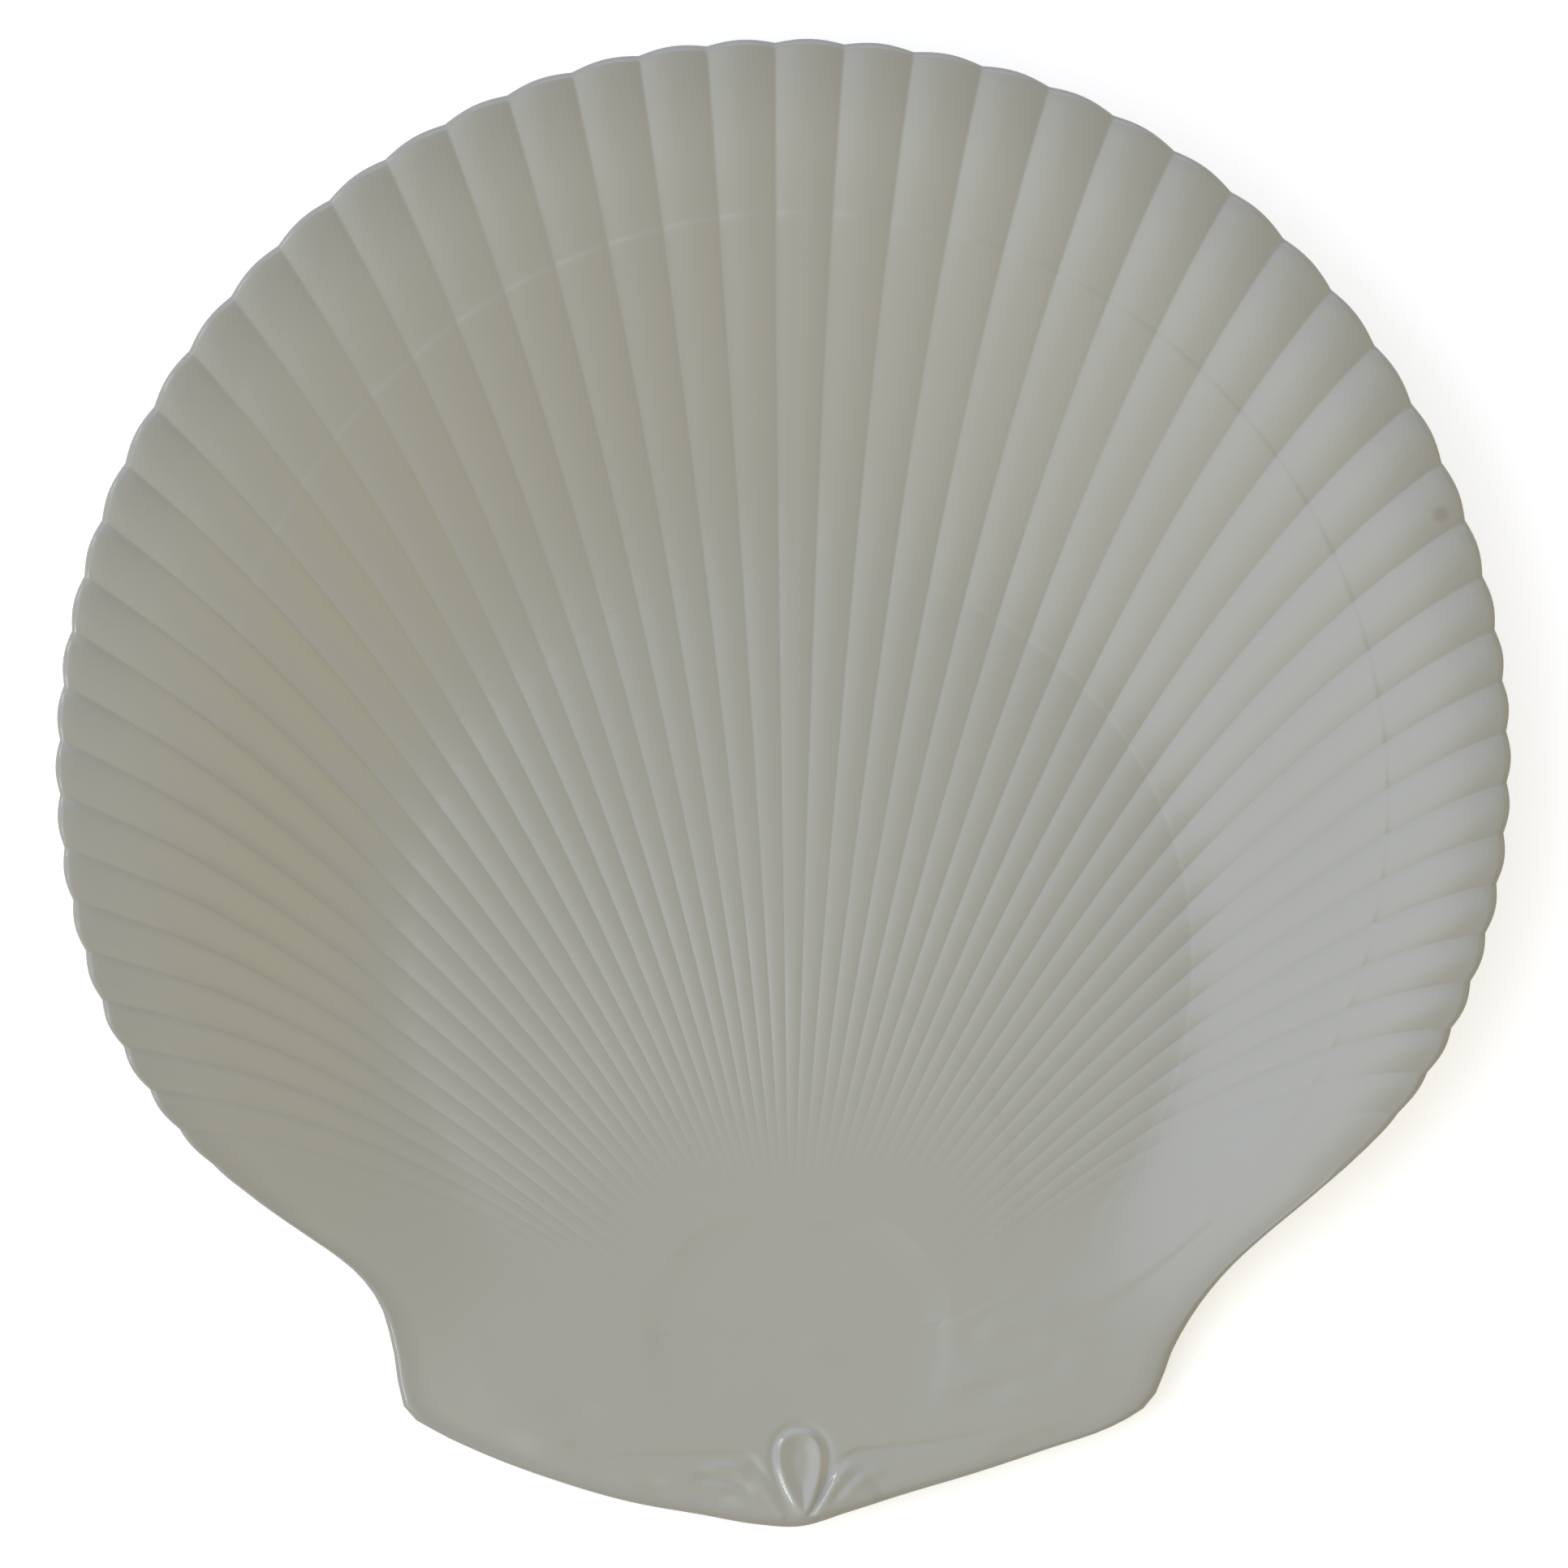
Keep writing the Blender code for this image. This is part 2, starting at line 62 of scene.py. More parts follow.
# Flutes: their courses are the part's, and their depth is that of the finished face
HUB_X = 1.7 * MM
HUB_Y = TIP_Y + 39.6 * MM
HUB_LEAN = 0.3                 # degrees from +Y of the middle flute at the hub
FLUTES_LEFT = 28
FLUTES_RIGHT = 26
HUB_PITCH_LEFT = 2.56          # degrees between two flutes at the hub, by the axis
HUB_PITCH_RIGHT = 2.81
HUB_PITCH_DROP_LEFT = 0.0017   # how that shrinks towards the sides
HUB_PITCH_DROP_RIGHT = 0.013
EDGE_PITCHES_LEFT = (5.45, 4.43, 3.84)    # degrees between two at the edge: at the top, at
EDGE_PITCHES_RIGHT = (5.53, 4.04, 4.00)   # flute SIDE_FLUTES and at the last one
TOP_FLUTES = 10
SIDE_FLUTES = 15
BEND_POWER_LEFT = 2.44         # over 1 keeps a flute's bend for the outer part of its way
BEND_POWER_RIGHT = 3.46
TUCK = 30.0                    # degrees by which lines at the side crowd towards the hinge
TUCK_FROM = 57.0               # degrees from the axis where that is strongest
TUCK_POWER = 6
TUCK_FADE = 4.5                # how soon it fades on the way out
FLUTE_RISE = 0.94 * MM         # crown over groove where a flute is as wide as at the top
FLUTE_WIDTH = 15.3 * MM        # that width
FLUTE_WIDEST = 1.1             # share of that width past which a flute grows no deeper
FLUTE_POWER = 1.55             # over 1 makes narrow flutes shallower than their width alone would
LEFT_DEEPER = 1.05             # flutes at the sides are deeper by these shares
RIGHT_DEEPER = 0.55
SIDE_FROM = 34.0               # degrees off the axis, seen from the well's middle
SIDE_FULL = 74.0
CROWN_POWER = 0.8              # under 1 flattens the crown and steepens the flanks
FLUTE_END = 4                  # number of flutes over which they fade out at each side
FLUTE_BARE = 5 * MM            # no flutes within this of the arch
FLUTE_START = 34 * MM          # and full depth this much further out
GROOVE_ROUND = 0.045           # how much glaze rounds the groove between two flutes

# Growth rings and the smooth arch round the hub
AXIS_X = 3.6 * MM
WELL_RADIUS = 87.4 * MM
WELL_Y = HUB_Y - 0.8 * MM + WELL_RADIUS
OUTER_RING_RADIUS = 130.4 * MM
OUTER_RING_Y = HUB_Y - 8.8 * MM + OUTER_RING_RADIUS
INNER_RING_RADIUS = 48.0 * MM
INNER_RING_Y = HUB_Y - 14.4 * MM + INNER_RING_RADIUS
OUTER_STEP = 0.26 * MM         # how far the layer inside a ring stands proud of the one outside
WELL_STEP = -0.16 * MM         # the well is let in by this at its ring
INNER_STEP = 0.06 * MM
RING_FADE = 12 * MM            # how soon a layer levels out inside its ring
RING_ROUND = 0.8 * MM          # how softly the glaze rounds a ring's step
RINGS_LEFT = 0.25              # share of the rings left low on the left
RINGS_BARE = 12 * MM           # they end over this distance inside the arch
LEFT_FROM = 20.0               # degrees to the left over which they grow fainter
LEFT_TO = 75.0
RINGS_FROM = 80.0              # degrees round the arch over which they end at the hinge
RINGS_TO = 105.0
UMBO_RADIUS = 34.0 * MM
UMBO_Y = HUB_Y + 2.0 * MM
UMBO_DIP = 8.0 * MM            # the arch is flattened by this on the axis
UMBO_DIP_SPREAD = 27.0         # and over these degrees
UMBO_DEPTH = 0.28 * MM         # smooth hollow inside the arch
UMBO_SLOPE = 3.2 * MM          # a soft edge that the glaze has rounded
UMBO_FROM = 80.0               # degrees round the arch over which the hollow ends at the hinge
UMBO_TO = 140.0

# Section, as in the part
WALL = 4.2 * MM
EDGE_ROUND = 1.5 * MM
NEAR = 0.5 * MM                # step over which the dish's tilt is measured
FLOOR_TOP = 7.4 * MM
FLOOR_RISE = 1.0 * MM          # from the well's middle to its ring
FAN_HEIGHT = 35.0 * MM         # of the edge round the fan, and at the hinge
HINGE_HEIGHT = 10.5 * MM
WALL_POWER = 0.86              # under 1 brings the wall's steepest part nearer the well
HINGE_FROM = 78.0              # degrees from the axis over which the edge falls to the hinge
HINGE_TO = 138.0
FOOT_RADIUS = 75.0 * MM
FOOT_WIDTH = 4.0 * MM
FOOT_Y = WELL_Y + 8.5 * MM
FOOT_SUNK = 0.6 * MM           # its top lies this far inside the wall
FOOT_FILLET = 2.2 * MM         # where the glaze runs from the foot into the wall
FOOT_BEVEL = 0.8 * MM

# Ornament at the hinge: a drop between two wings, across from the axis and up from the tip
DROP_UP = 15.2                 # middle of the drop's round end, in millimetres as all below
DROP_RADIUS = 5.5
DROP_LENGTH = 12.2             # from the round end's middle down to the point
DROP_WAIST = 0.6               # share of its width that it loses towards the point
DROP_SHARPNESS = 1.5           # over 1 keeps that loss near the point
DROP_LEAN = 1.15               # over 1 keeps its widest place high
DROP_SLANT = 1.0               # its point lies this far right of its round end's middle
DROP_RISE = 0.66               # of its raised border
DROP_OUTSIDE = 0.62            # half widths of that border, steep outside and easy inside
DROP_INSIDE = 1.7
DROP_SINK = 0.25               # its middle lies this far under the dish
DROP_LOW = 4.5                 # under this height its border sinks towards the tip,
DROP_LOWEST = 0.3              # to this share of its rise
VALLEY_DEPTH = 0.24            # of the valley round the drop
VALLEY_OUT = 1.7               # its middle lies this far outside the border,
VALLEY_HALF_WIDTH = 0.9
VALLEY_FROM = 3                # and it starts this far up
VALLEY_OVER = 5                # and is at full depth this much further up
LEFT_WING = ((-48, 14.6), (-40, 15.2), (-34, 15.4), (-24, 15.6), (-15, 15.9), (-11.4, 15.3),
             (-9.0, 12.8), (-6.2, 8.6), (-3.8, 4.6), (-2.4, 2.2))
RIGHT_WING = ((56, 23.2), (48, 21.6), (38, 19.8), (28, 18.2), (18, 17.0), (12.8, 16.5),
              (10.3, 15.0), (8.6, 12.6), (6.3, 8.4), (4.2, 4.8), (2.8, 2.4))
WING_TURN = 0.72               # share of a wing's line at which it turns down along the drop
WING_TURN_OVER = 0.12
WING_RISE = 0.03               # along the upper edges
LEFT_FLANK = 0.16              # along the edge towards the drop
RIGHT_FLANK = 1.3
WING_MIDDLE = 0.35             # share of that rise that a wing's middle keeps
WING_SINK_OVER = 5.0           # and how soon it sinks to it
LEFT_STEP = 2.6                # widths over which the edges rise
RIGHT_STEP = 1.6
UPPER_STEP = 4.5
UPPER_LINE = 0.2               # the pressed line on a wing's edge lies this far outside it
UPPER_DEPTH = 0.40             # of that line
TURNED_EASE = 0.28             # it is this much shallower along the drop
LINE_OUTSIDE = 0.7             # its half widths outside and inside the edge
LINE_INSIDE = 2.2
WING_BEAD = 0.12               # rounded lip along the edge towards the drop,
BEAD_IN = 1.3                  # this far inside it
BEAD_HALF_WIDTH = 1.0
WING_REACH = 60.0              # a wing has sunk into the ear this far from the axis
WING_FULL = 16.0               # and is full height up to here
ORNAMENT_TOP = 60              # nothing of the ornament lies higher up than this

# Pressed lines on the ears and wings: height, half width, points across and up
LINE_STRENGTH = 1.5            # times those heights
LINE_END = 0.25                # share of a line over which it fades in and out
LINE_POINTS = 41
PRESSED_LINES = (
    (-0.30, 1.4, ((-24.5, 11.2), (-18, 10.6), (-13, 9.2), (-10, 6.4))),
    (0.18, 1.2, ((-22, 13.2), (-15, 12.6), (-10.5, 10.0))),
    (-0.28, 1.5, ((-38, 8.6), (-27, 7.4), (-18, 6.2), (-12, 4.6))),
    (0.16, 1.3, ((-33, 10.4), (-24, 9.0), (-14, 7.0))),
    (-0.24, 0.9, ((13.8, 12.6), (10.4, 9.8), (8.0, 6.7), (6.6, 4.6))),
    (0.16, 1.2, ((20, 12.6), (15.2, 11.4), (12.2, 8.6), (9.8, 5.4))),
    (-0.22, 1.6, ((-72, 39.7), (-58, 38.0), (-45, 35.1))),
    (0.18, 2.0, ((-74, 29.7), (-64, 27.0), (-54, 25.5))),
    (-0.16, 1.8, ((-55, 27.0), (-44, 25.0))),
    (0.16, 2.0, ((-61, 20.2), (-49, 18.0))),
    (-0.30, 2.2, ((-85, 24.6), (-70, 20.6), (-58, 16.0))),
    (0.18, 2.0, ((38, 42.0), (48, 45.2), (60, 47.3))),
    (0.22, 2.0, ((28, 31.5), (46, 35.0), (58, 41.0), (72, 43.8))),
    (-0.18, 2.0, ((34, 28.5), (50, 32.5), (62, 37.4))),
    (0.18, 2.0, ((44, 29.4), (59, 33.2), (68, 33.8))),
    (-0.26, 2.2, ((41, 14.6), (55, 19.6), (70, 23.2))),
)

# Light of the room: an even base, and broad soft patches of light round it, as degrees from +X
# anticlockwise, degrees up, and their middle's red, green and blue
ROOM = (0.430, 0.407, 0.356)
PATCHES = (
    (180, 50, (0.90, 1.00, 1.44)),
    (225, 50, (0.34, 0.31, 0.22)),
    (90, 22, (1.02, 1.24, 1.96)),
    (270, 22, (0.50, 0.47, 0.50)),
    (0, 22, (0.80, 0.70, 0.26)),
)
PATCH_REACH = 42.0             # degrees from a patch's middle to where it has faded out

# Two low lamps that put the glints on the ornament: azimuth, elevation, size and power
LAMPS = (
    ("window_sill", 152, 12, (0.5, 0.12), 4.6),
    ("door_gap", 203, 22, (0.4, 0.14), 5.0),
)
LAMP_DISTANCE = 1.6
LAMP_COLOUR = (0.9, 0.96, 1.0)

# Finishes
GLAZE_CLOUDED = (0.366, 0.363, 0.310, 1)   # the body's two shades
GLAZE_CLEAR = (0.378, 0.374, 0.322, 1)
GLAZE_GROOVE_SHADE = (0.338, 0.338, 0.290, 1)    # painted shade deep in the grooves
GLAZE_EDGE_SHADE = (0.312, 0.306, 0.262, 1)      # painted shade towards the edge and over the rim
GLAZE_ROUGHNESS = (0.15, 0.21)
PEEL_STRENGTH = 0.05                       # faint unevenness of the gloss
PEEL_DEPTH = 0.4 * MM
SPECK_BROWN = (0.14, 0.11, 0.08, 1)
SPECK_SCALE = 70.0
SPECK_RADIUS = (0.012, 0.030)              # dark up to the first, gone at the second
SPECK_RARITY = 0.86                        # share of the cells that have none
SPECK_STRENGTH = 0.5
GROOVE_SHADE_INNER = 0.3               # share of the way out within which the painted groove shade is not yet full
GROOVE_SHADE_FROM = 0.55               # how deep in a groove the painted shade begins
GROOVE_SHADE_STRENGTH = 0.35
EDGE_SHADE_FROM = 0.91               # share of the way out from which painted shade darkens the glaze to the edge
EDGE_SHADE_STRENGTH = 0.7
STAIN = (145.7 * MM, 59.6 * MM)   # faint brown stain near the right edge, from the origin
STAIN_BROWN = (0.25, 0.205, 0.155, 1)
STAIN_CORE = 0.3 * MM
STAIN_REACH = 2.8 * MM
STAIN_STRENGTH = 0.5
CLAY_DARK = (0.40, 0.365, 0.30, 1)         # bare clay of the standing edge
CLAY_PALE = (0.47, 0.435, 0.365, 1)
FOOT_GLAZE_CLOUDED = (0.350, 0.347, 0.308, 1)
FOOT_GLAZE_CLEAR = (0.362, 0.358, 0.322, 1)
FOOT_BARE = (0.3 * MM, 0.8 * MM)           # bare up to the first height, glazed from the second
FOOT_ROUGHNESS = (0.18, 0.85)              # glazed and bare
GRIT_STRENGTH = 0.15
GRIT_DEPTH = 0.3 * MM
TABLE_WHITE = 0.80
TABLE_REACH = 6.0

# Camera: its height, the level where the picture is to scale, and the photograph's width there
CAMERA_HEIGHT = 12.0
SCALE_LEVEL = 0.033
PHOTO_WIDTH = 1932 * 0.17986 * MM
CAMERA_AT = (0.00018, -0.00009)
SENSOR_WIDTH = 36.0

# Fineness of the mesh
FLUTE_COLUMNS = (0, 0.03, 0.075, 0.15, 0.26, 0.38, 0.5, 0.62, 0.74, 0.85, 0.925, 0.97)
HINGE_COLUMN = 1.4             # degrees between columns past the flutes
WING_COLUMN = 0.45             # and along the wings, and at the drop
WING_COLUMNS_FROM = 158.0
DROP_COLUMN = 0.16
DROP_COLUMNS_FROM = 175.0
ROWS_BETWEEN = (9, 7, 12, 15, 13)         # rows up to the arch, each ring and the edge
RING_BAND = 1.1 * MM                      # close rows this far to both sides of a ring,
RING_ROWS = (-0.5, -0.17, 0.17, 0.5)      # at these shares of it
HINGE_SHARES = (0.30, 0.46, 0.62, 0.82)   # shares of the way out in place of the rings there
HINGE_ROWS_FROM = 46.0                    # degrees at the hub over which the rows go over to them
HINGE_ROWS_TO = 84.0
UNDER_ROWS = 12
UNDER_POWER = 0.8              # under 1 draws the underside's rows towards the edge
RIM_ROWS = 9
FOOT_STEPS = 256
FILLET_STEPS = 6
BEVEL_STEPS = 4


def soft_step(value):
    """Rises smoothly from 0 to 1 as the value does."""
    value = np.clip(value, 0, 1)
    return value * value * (3 - 2 * value)


def curve_through(x, points):
    """Smooth curve through (x, y) points in order of x."""
    at = np.array([point[0] for point in points], dtype=float)
    value = np.array([point[1] for point in points], dtype=float)
    slope = np.gradient(value, at)
    spot = np.clip(np.searchsorted(at, x) - 1, 0, len(at) - 2)
    width = at[spot + 1] - at[spot]
    s = (x - at[spot]) / width
    return ((2 * s**3 - 3 * s**2 + 1) * value[spot]
            + (s**3 - 2 * s**2 + s) * width * slope[spot]
            + (3 * s**2 - 2 * s**3) * value[spot + 1]
            + (s**3 - s**2) * width * slope[spot + 1])


def outline_points():
    """Degrees from +Y, clockwise, against millimetres outside the circle, once round."""
    left = [(360 - angle, outside) for angle, outside in reversed(LEFT_SIDE)]
    before = [(angle - 360, outside) for angle, outside in left]
    return before + list(FAN) + list(RIGHT_SIDE) + left


OUTLINE = outline_points()
HUB = np.array([HUB_X, HUB_Y])


def edge_point(angle, lobe=0.0):
    """Point of the outline at degrees from +Y, moved out by a lobe."""
    radius = FAN_RADIUS + curve_through(np.asarray(angle, dtype=float), OUTLINE) * MM + lobe
    turn = np.radians(angle)
    return np.stack([radius * np.sin(turn), radius * np.cos(turn)], axis=-1)


def notch_angle(flute):
    """Degrees from +Y at which a flute's line meets the edge."""
    number = np.abs(flute)
    last = max(FLUTES_LEFT, FLUTES_RIGHT)
    steps = np.linspace(0, last, 40 * last + 1)

    def run(pitches):
        pitch = np.interp(steps, (0, TOP_FLUTES, SIDE_FLUTES, last), (pitches[0], *pitches))
        total = np.cumsum((pitch[1:] + pitch[:-1]) / 2 * np.diff(steps))
        return np.interp(number, steps, np.concatenate([[0], total]))

    left, right = run(EDGE_PITCHES_LEFT), run(EDGE_PITCHES_RIGHT)
    return FAN_TURN + np.where(np.asarray(flute) < 0, -left, right)


def hub_angle(flute):
    """Degrees from the axis at which a flute leaves the hub."""
    number = np.abs(flute)
    left = HUB_PITCH_LEFT * number - HUB_PITCH_DROP_LEFT * number**2
    right = HUB_PITCH_RIGHT * number - HUB_PITCH_DROP_RIGHT * number**2
    return HUB_LEAN + np.where(np.asarray(flute) < 0, -left, right)


def flute_strength(flute):
    """1 in the fan, falling to 0 over the last flutes of each side."""
    return soft_step(np.minimum(FLUTES_LEFT + flute, FLUTES_RIGHT - flute) / FLUTE_END)


def crown(flute):
    """Section of the flutes: 1 on a crown, 0 in the rounded groove between two."""
    wave = np.cos(np.pi * flute)
    rounded = (np.sqrt(wave**2 + GROOVE_ROUND**2) - GROOVE_ROUND) / (1 - GROOVE_ROUND / 2)
    return rounded**CROWN_POWER


def tuck(angle):
    """How far the lines crowd round the hub, by their own angle from the axis."""
    away = np.abs(angle)
    inner = TUCK * np.minimum(away / TUCK_FROM, 1)**TUCK_POWER
    outer = TUCK * (180 - away) / (180 - TUCK_FROM)
    return np.sign(angle) * np.where(away < TUCK_FROM, inner, outer)


def columns():
    """Flute number (the last one's all along the hinge), edge point and angle at the hub."""
    grooves = np.arange(-FLUTES_LEFT, FLUTES_RIGHT) - 0.5
    flute = np.add.outer(grooves, FLUTE_COLUMNS).ravel()
    flute = np.append(flute[flute > -FLUTES_LEFT], FLUTES_RIGHT)
    lobe = LOBE_RISE * flute_strength(flute) * np.abs(np.cos(np.pi * flute))
    fan_edge = edge_point(notch_angle(flute), lobe)
    angle, end = float(notch_angle(FLUTES_RIGHT)), 360 + float(notch_angle(-FLUTES_LEFT))
    angles = []
    while angle < end - HINGE_COLUMN:
        from_top = min(angle, 360 - angle)
        if from_top > DROP_COLUMNS_FROM:
            angle += DROP_COLUMN
        else:
            angle += WING_COLUMN if from_top > WING_COLUMNS_FROM else HINGE_COLUMN
        angles.append(min(angle, end - HINGE_COLUMN / 2))
    hinge_edge = edge_point(np.array(angles))
    away = hinge_edge - HUB
    hinge_hub = np.degrees(np.arctan2(away[:, 0], away[:, 1]))
    flutes = np.concatenate([flute, np.full(len(angles), float(FLUTES_RIGHT))])
    edges = np.concatenate([fan_edge, hinge_edge])
    return flutes, edges, np.concatenate([hub_angle(flute), hinge_hub])


def column_lines(edges, leaving, share):
    """Points from the hub to the edge points: share has a row for each column."""
    away = edges - HUB
    arriving = np.degrees(np.arctan2(away[:, 0], away[:, 1]))
    bend = (arriving - leaving + 180) % 360 - 180
    power = np.where(leaving < HUB_LEAN, BEND_POWER_LEFT, BEND_POWER_RIGHT)
    crowding = tuck(leaving)[:, None] * (1 - share)**TUCK_FADE
    angle = np.radians(leaving[:, None] + bend[:, None] * share**power[:, None] + crowding)
    reach = share * np.hypot(away[:, 0], away[:, 1])[:, None]
    return HUB_X + reach * np.sin(angle), HUB_Y + reach * np.cos(angle)


def past_ring(x, y, centre_y, radius):
    """Distance outside a growth ring."""
    return np.hypot(x - AXIS_X, y - centre_y) - radius


def past_umbo(x, y):
    """Distance outside the arch, and the angle from the axis there."""
    across, along = x - AXIS_X, y - UMBO_Y
    angle = np.degrees(np.arctan2(across, along))
    arch = UMBO_RADIUS - UMBO_DIP * np.exp(-(angle / UMBO_DIP_SPREAD)**2)
    return np.hypot(across, along) - arch, angle


def fading(angle, start, end):
    """1 near the axis, falling to 0 between two angles from it."""
    return soft_step((end - np.abs(angle)) / (end - start))


def row_shares(edges, leaving):
    """Shares of the way out of the upper rows: close at the rings, wider between them."""
    share = np.linspace(0, 1, 401)
    x, y = column_lines(edges, leaving, np.tile(share, (len(leaving), 1)))
    forms = [past_umbo(x, y)[0], past_ring(x, y, INNER_RING_Y, INNER_RING_RADIUS),
             past_ring(x, y, WELL_Y, WELL_RADIUS),
             past_ring(x, y, OUTER_RING_Y, OUTER_RING_RADIUS)]
    hinge = 1 - fading(leaving, HINGE_ROWS_FROM, HINGE_ROWS_TO)
    length = np.hypot(*(edges - HUB).T)
    marks = [np.zeros(len(leaving))]
    for form, even in zip(forms, HINGE_SHARES):
        at = [np.interp(0, np.maximum.accumulate(line), share) for line in form]
        marks.append(np.array(at) * (1 - hinge) + even * hinge)
    marks.append(1 - EDGE_ROUND / length)
    rows = []
    close = RING_BAND / length
    for number, count in enumerate(ROWS_BETWEEN):
        before_ring = number < len(forms)
        low = marks[number] + (close if number else 0)
        high = marks[number + 1] - (close if before_ring else 0)
        part = np.linspace(0, 1, count + 1)
        rows += [low + (high - low) * step for step in (part if number else part[1:])]
        if before_ring:
            rows += [marks[number + 1] + close * step for step in RING_ROWS]
    return np.stack(rows, axis=1)


def edge_distance(bearing):
    """Distance of the outline, without its lobes, from the well's middle."""
    turn = np.arange(-180, 180, 0.5)
    edge = edge_point(turn) - np.array([AXIS_X, WELL_Y])
    at = np.degrees(np.arctan2(edge[:, 0], edge[:, 1]))
    return np.interp(bearing, at, np.hypot(edge[:, 0], edge[:, 1]), period=360)


def dish_height(x, y):
    """Upper face without its relief: the well, and a wall that levels out to the edge."""
    across, along = x - AXIS_X, y - WELL_Y
    distance = np.hypot(across, along)
    bearing = np.degrees(np.arctan2(across, along))
    s = np.clip((distance - WELL_RADIUS) / (edge_distance(bearing) - WELL_RADIUS), 0, 1)
    wall = soft_step(s**WALL_POWER)
    hinge = soft_step((np.abs(bearing) - HINGE_FROM) / (HINGE_TO - HINGE_FROM))
    top = FAN_HEIGHT + (HINGE_HEIGHT - FAN_HEIGHT) * hinge
    floor = FLOOR_TOP + FLOOR_RISE * np.minimum(distance / WELL_RADIUS, 1)**2
    return floor + (top - FLOOR_TOP - FLOOR_RISE) * wall


def underside(x, y):
    """Point a wall's thickness under the plain dish, square to it."""
    tilt_x = (dish_height(x + NEAR, y) - dish_height(x - NEAR, y)) / (2 * NEAR)
    tilt_y = (dish_height(x, y + NEAR) - dish_height(x, y - NEAR)) / (2 * NEAR)
    reach = WALL / np.sqrt(1 + tilt_x**2 + tilt_y**2)
    return x + reach * tilt_x, y + reach * tilt_y, dish_height(x, y) - reach


def ring_layer(x, y, centre_y, radius, step):
    """The inner layer stands proud at its ring, or lies lower, and levels towards the middle."""
    past = past_ring(x, y, centre_y, radius)
    inside = soft_step(0.5 - past / (2 * RING_ROUND))
    return step * inside * np.exp(np.minimum(past, 0) / RING_FADE)


def ring_strength(x, y, past_arch, angle):
    """The rings stand out on the right, are faint down the left and end at the arch."""
    bearing = np.degrees(np.arctan2(x - AXIS_X, y - WELL_Y))
    left = RINGS_LEFT + (1 - RINGS_LEFT) * soft_step((bearing + LEFT_TO) / (LEFT_TO - LEFT_FROM))
    outside = soft_step(1 + past_arch / RINGS_BARE)
    return left * outside * fading(angle, RINGS_FROM, RINGS_TO)


def line_distance(x, y, points):
    """Distance from a line of points, share along it, and which side: 1 on its right."""
    points = np.array(points, dtype=float)
    steps = np.diff(points, axis=0)
    lengths = np.hypot(*steps.T)
    before = np.concatenate([[0], np.cumsum(lengths)])
    nearest = np.full(np.shape(x), np.inf)
    along = np.zeros(np.shape(x))
    side = np.zeros(np.shape(x))
    for start, step, length, done in zip(points, steps, lengths, before):
        away_x, away_y = x - start[0], y - start[1]
        at = np.clip((away_x * step[0] + away_y * step[1]) / length**2, 0, 1)
        distance = np.hypot(away_x - at * step[0], away_y - at * step[1])
        closer = distance < nearest
        nearest = np.where(closer, distance, nearest)
        along = np.where(closer, (done + at * length) / before[-1], along)
        turn = np.where(step[0] * away_y - step[1] * away_x < 0, 1.0, -1.0)
        side = np.where(closer, turn, side)
    return nearest, along, side


def smooth_line(points):
    """The same line through its points, drawn finer and rounder."""
    at = np.linspace(0, len(points) - 1, LINE_POINTS)
    xs = curve_through(at, [(n, point[0]) for n, point in enumerate(points)])
    ys = curve_through(at, [(n, point[1]) for n, point in enumerate(points)])
    return list(zip(xs, ys))


def drop_relief(across, up):
    """Raised border of the drop, its sunken middle and the valley round it, in millimetres."""
    turn = np.linspace(0, 2 * np.pi, 73)
    down = (1 - np.cos(turn)) / 2
    border_x = (DROP_RADIUS * np.sin(turn) * (1 - DROP_WAIST * down**DROP_SHARPNESS)
                + DROP_SLANT * down**2)
    border_y = DROP_UP + DROP_RADIUS - (DROP_RADIUS + DROP_LENGTH) * down**DROP_LEAN
    distance, _, side = line_distance(across, up, list(zip(border_x, border_y)))
    width = np.where(side > 0, DROP_INSIDE, DROP_OUTSIDE)
    low = np.clip(up / DROP_LOW, DROP_LOWEST, 1)
    border = DROP_RISE * low * np.exp(-(distance / width)**2)
    sunk = (side > 0) * DROP_SINK * soft_step(distance / (2 * DROP_INSIDE))
    valley = (VALLEY_DEPTH * (side < 0) * np.exp(-((distance - VALLEY_OUT) / VALLEY_HALF_WIDTH)**2)
              * soft_step((up - VALLEY_FROM) / VALLEY_OVER))
    return border - sunk - valley


def wing_relief(across, up, points, right_hand):
    """Plate of one wing, with a pressed line along its edge and a rounded lip by the drop."""
    distance, along, side = line_distance(across, up, smooth_line(points))
    inside = distance * side * (-1 if right_hand else 1)
    reach = fading(across, WING_FULL, WING_REACH)
    flank, step = (RIGHT_FLANK, RIGHT_STEP) if right_hand else (LEFT_FLANK, LEFT_STEP)
    turned = soft_step((along - WING_TURN) / WING_TURN_OVER)
    rise = WING_RISE + (flank - WING_RISE) * turned
    width = UPPER_STEP + (step - UPPER_STEP) * turned
    plate = rise * soft_step(0.5 + inside / width)
    near_edge = np.exp(-np.maximum(inside, 0) / WING_SINK_OVER)
    plate = plate * (WING_MIDDLE + (1 - WING_MIDDLE) * near_edge)
    lip = WING_BEAD * turned * np.exp(-((inside - BEAD_IN) / BEAD_HALF_WIDTH)**2)
    width = np.where(inside + UPPER_LINE < 0, LINE_OUTSIDE, LINE_INSIDE)
    groove = -(UPPER_DEPTH - TURNED_EASE * turned) * np.exp(-((inside + UPPER_LINE) / width)**2)
    beside = (along > 0) & (along < 1)
    return (plate + lip + groove) * reach * beside


